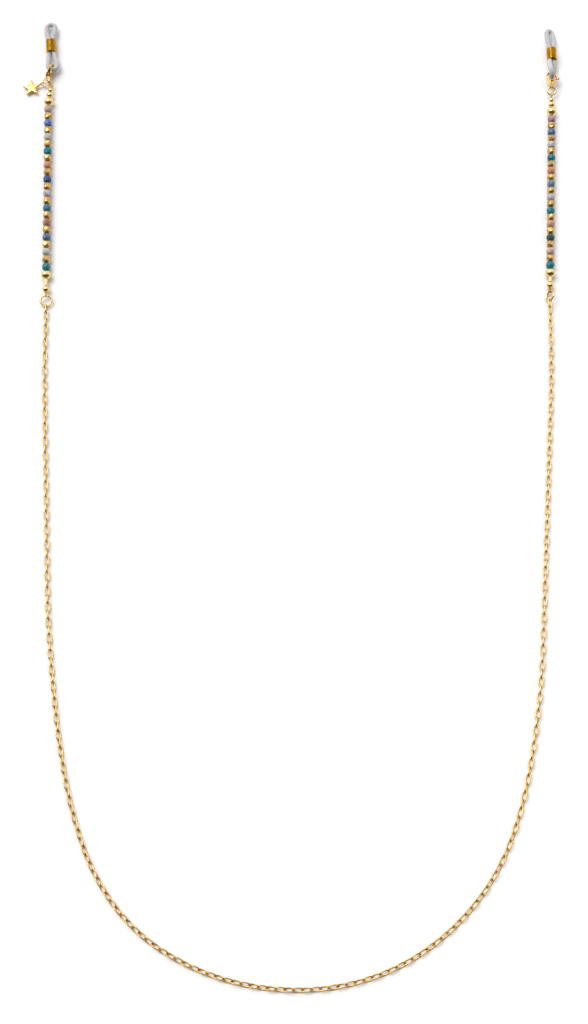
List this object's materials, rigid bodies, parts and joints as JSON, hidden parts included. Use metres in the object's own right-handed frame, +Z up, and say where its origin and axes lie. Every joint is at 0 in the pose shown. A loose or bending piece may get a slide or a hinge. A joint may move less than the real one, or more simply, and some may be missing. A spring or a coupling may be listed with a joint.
{
  "type": "eyeglasses chain strap",
  "caption": "Gold cable chain for glasses with beaded ends, lobster clasps, soft temple loops with wire coils, and a star charm.",
  "frame": {"origin": "under the middle of the strap's outline, on the surface that it lies on", "axes": "+Y towards the two temple loops, +X from the end with the star charm to the other end, +Z up from the surface"},
  "size_m": [0.1992, 0.3484, 0.0053],
  "materials": {
    "chain_gold": "polished, warm gold plate",
    "bead_gold": "polished gold plate",
    "clasp_gold": "polished gold plate",
    "coil_gold": "deep yellow gold wire",
    "teal_glass": "faceted glass",
    "blue_glass": "faceted glass",
    "coral_glass": "faceted glass",
    "lilac_glass": "faceted glass",
    "blush_glass": "faceted glass",
    "silicone": "translucent soft silicone",
    "spring_steel": "bright"
  },
  "bodies": {
    "chain_middle": {"chain_middle": "chain_gold"},
    "chain_left_1": {"chain_left_1": "chain_gold"},
    "chain_left_2": {"chain_left_2": "chain_gold"},
    "chain_left_3": {"chain_left_3": "chain_gold"},
    "chain_left_4": {"chain_left_4": "chain_gold"},
    "chain_left_5": {"chain_left_5": "chain_gold"},
    "chain_left_6": {"chain_left_6": "chain_gold"},
    "left_end_ring": {"left_end_ring": "bead_gold"},
    "left_strand": {"left_bead_wire": "bead_gold", "left_crimp_cover": "bead_gold", "left_crimp_tube": "bead_gold", "left_large_beads": "bead_gold", "left_medium_bead": "bead_gold", "left_small_bead": "bead_gold", "left_gold_nuggets": "bead_gold", "left_teal_beads": "teal_glass", "left_blue_beads": "blue_glass", "left_coral_beads": "coral_glass", "left_lilac_beads": "lilac_glass", "left_blush_beads": "blush_glass"},
    "left_clasp_ring": {"left_clasp_ring": "bead_gold"},
    "left_clasp": {"left_clasp_body": "clasp_gold", "left_clasp_rivet": "clasp_gold", "left_clasp_spring": "spring_steel"},
    "left_clasp_lever": {"left_clasp_lever": "clasp_gold"},
    "left_silicone_loop": {"left_silicone_loop": "silicone"},
    "left_coil": {"left_coil": "coil_gold"},
    "chain_right_1": {"chain_right_1": "chain_gold"},
    "chain_right_2": {"chain_right_2": "chain_gold"},
    "chain_right_3": {"chain_right_3": "chain_gold"},
    "chain_right_4": {"chain_right_4": "chain_gold"},
    "chain_right_5": {"chain_right_5": "chain_gold"},
    "chain_right_6": {"chain_right_6": "chain_gold"},
    "right_end_ring": {"right_end_ring": "bead_gold"},
    "right_strand": {"right_bead_wire": "bead_gold", "right_crimp_cover": "bead_gold", "right_crimp_tube": "bead_gold", "right_large_beads": "bead_gold", "right_medium_bead": "bead_gold", "right_small_bead": "bead_gold", "right_gold_nuggets": "bead_gold", "right_teal_beads": "teal_glass", "right_blue_beads": "blue_glass", "right_coral_beads": "coral_glass", "right_lilac_beads": "lilac_glass", "right_blush_beads": "blush_glass"},
    "right_clasp_ring": {"right_clasp_ring": "bead_gold"},
    "right_clasp": {"right_clasp_body": "clasp_gold", "right_clasp_rivet": "clasp_gold", "right_clasp_spring": "spring_steel"},
    "right_clasp_lever": {"right_clasp_lever": "clasp_gold"},
    "right_silicone_loop": {"right_silicone_loop": "silicone"},
    "right_coil": {"right_coil": "coil_gold"},
    "star_ring": {"star_ring": "bead_gold"},
    "star_charm": {"star_charm": "bead_gold"}
  },
  "joints": [
    {"name": "chain_left_1_bend", "type": "hinge", "parent": "chain_middle", "child": "chain_left_1", "pos_m": [-0.01503, -0.17226, 0.00067], "axis": [0, 0, 1], "range_deg": [-13, 13]},
    {"name": "chain_left_2_bend", "type": "hinge", "parent": "chain_left_1", "child": "chain_left_2", "pos_m": [-0.05164, -0.15211, 0.00069], "axis": [0, 0, 1], "range_deg": [-13, 13]},
    {"name": "chain_left_3_bend", "type": "hinge", "parent": "chain_left_2", "child": "chain_left_3", "pos_m": [-0.06988, -0.11422, 0.00081], "axis": [0, 0, 1], "range_deg": [-13, 13]},
    {"name": "chain_left_4_bend", "type": "hinge", "parent": "chain_left_3", "child": "chain_left_4", "pos_m": [-0.07734, -0.07242, 0.0009], "axis": [0, 0, 1], "range_deg": [-13, 13]},
    {"name": "chain_left_5_bend", "type": "hinge", "parent": "chain_left_4", "child": "chain_left_5", "pos_m": [-0.08108, -0.03012, 0.00095], "axis": [0, 0, 1], "range_deg": [-13, 13]},
    {"name": "chain_left_6_bend", "type": "hinge", "parent": "chain_left_5", "child": "chain_left_6", "pos_m": [-0.08405, 0.01226, 0.00095], "axis": [0, 0, 1], "range_deg": [-13, 13]},
    {"name": "left_end_ring_swing", "type": "hinge", "parent": "chain_left_6", "child": "left_end_ring", "pos_m": [-0.08591, 0.05433, 0.00095], "axis": [0, 0, 1], "range_deg": [-15, 15]},
    {"name": "left_strand_swing", "type": "hinge", "parent": "left_end_ring", "child": "left_strand", "pos_m": [-0.08607, 0.05802, 0.00185], "axis": [0, 0, 1], "range_deg": [-15, 15]},
    {"name": "left_clasp_ring_swing", "type": "hinge", "parent": "left_strand", "child": "left_clasp_ring", "pos_m": [-0.08906, 0.1453, 0.00185], "axis": [0, 0, 1], "range_deg": [-15, 15]},
    {"name": "left_clasp_swing", "type": "hinge", "parent": "left_clasp_ring", "child": "left_clasp", "pos_m": [-0.09052, 0.14784, 0.0023], "axis": [0, 0, 1], "range_deg": [-15, 15]},
    {"name": "left_clasp_lever_press", "type": "hinge", "parent": "left_clasp", "child": "left_clasp_lever", "pos_m": [-0.08983, 0.15045, 0.00275], "axis": [-0.9659, 0.2588, 0], "range_deg": [0, 11], "stiffness_Nm_per_rad": 0.004, "springref_deg": -11.46},
    {"name": "left_silicone_loop_lift", "type": "hinge", "parent": "left_clasp", "child": "left_silicone_loop", "pos_m": [-0.08851, 0.15206, 0.00215], "axis": [0.9954, 0.0958, 0], "range_deg": [0, 38]},
    {"name": "left_coil_slide", "type": "slide", "parent": "left_silicone_loop", "child": "left_coil", "axis": [-0.0958, 0.9952, -0.0209], "range_m": [-0.0005, 0.0014]},
    {"name": "chain_right_1_bend", "type": "hinge", "parent": "chain_middle", "child": "chain_right_1", "pos_m": [0.01919, -0.17202, 0.00067], "axis": [0, 0, 1], "range_deg": [-13, 13]},
    {"name": "chain_right_2_bend", "type": "hinge", "parent": "chain_right_1", "child": "chain_right_2", "pos_m": [0.05493, -0.15028, 0.00069], "axis": [0, 0, 1], "range_deg": [-13, 13]},
    {"name": "chain_right_3_bend", "type": "hinge", "parent": "chain_right_2", "child": "chain_right_3", "pos_m": [0.07369, -0.11265, 0.00087], "axis": [0, 0, 1], "range_deg": [-13, 13]},
    {"name": "chain_right_4_bend", "type": "hinge", "parent": "chain_right_3", "child": "chain_right_4", "pos_m": [0.08091, -0.07083, 0.00094], "axis": [0, 0, 1], "range_deg": [-13, 13]},
    {"name": "chain_right_5_bend", "type": "hinge", "parent": "chain_right_4", "child": "chain_right_5", "pos_m": [0.08465, -0.02851, 0.00095], "axis": [0, 0, 1], "range_deg": [-13, 13]},
    {"name": "chain_right_6_bend", "type": "hinge", "parent": "chain_right_5", "child": "chain_right_6", "pos_m": [0.08835, 0.0138, 0.00095], "axis": [0, 0, 1], "range_deg": [-13, 13]},
    {"name": "right_end_ring_swing", "type": "hinge", "parent": "chain_right_6", "child": "right_end_ring", "pos_m": [0.09046, 0.05585, 0.00204], "axis": [0, 0, 1], "range_deg": [-15, 15]},
    {"name": "right_strand_swing", "type": "hinge", "parent": "right_end_ring", "child": "right_strand", "pos_m": [0.09072, 0.05964, 0.00185], "axis": [0, 0, 1], "range_deg": [-15, 15]},
    {"name": "right_clasp_ring_swing", "type": "hinge", "parent": "right_strand", "child": "right_clasp_ring", "pos_m": [0.096, 0.14108, 0.00185], "axis": [0, 0, 1], "range_deg": [-15, 15]},
    {"name": "right_clasp_swing", "type": "hinge", "parent": "right_clasp_ring", "child": "right_clasp", "pos_m": [0.09615, 0.14394, 0.00275], "axis": [0, 0, 1], "range_deg": [-15, 15]},
    {"name": "right_clasp_lever_press", "type": "hinge", "parent": "right_clasp", "child": "right_clasp_lever", "pos_m": [0.09679, 0.1466, 0.00275], "axis": [0, 0, 1], "range_deg": [0, 11], "stiffness_Nm_per_rad": 0.004, "springref_deg": -11.46},
    {"name": "right_silicone_loop_swing", "type": "hinge", "parent": "right_clasp", "child": "right_silicone_loop", "pos_m": [0.09643, 0.14873, 0.00275], "axis": [0, 0, 1], "range_deg": [-20, 20]},
    {"name": "right_coil_slide", "type": "slide", "parent": "right_silicone_loop", "child": "right_coil", "axis": [0.0122, 0.9993, -0.0349], "range_m": [-0.0005, 0.0014]},
    {"name": "star_ring_swing", "type": "hinge", "parent": "left_clasp_ring", "child": "star_ring", "pos_m": [-0.09052, 0.14783, 0.00135], "axis": [0, 0, 1], "range_deg": [-20, 8]},
    {"name": "star_charm_swing", "type": "hinge", "parent": "star_ring", "child": "star_charm", "pos_m": [-0.09233, 0.14653, 0.00135], "axis": [0, 0, 1], "range_deg": [-25, 12]}
  ]
}
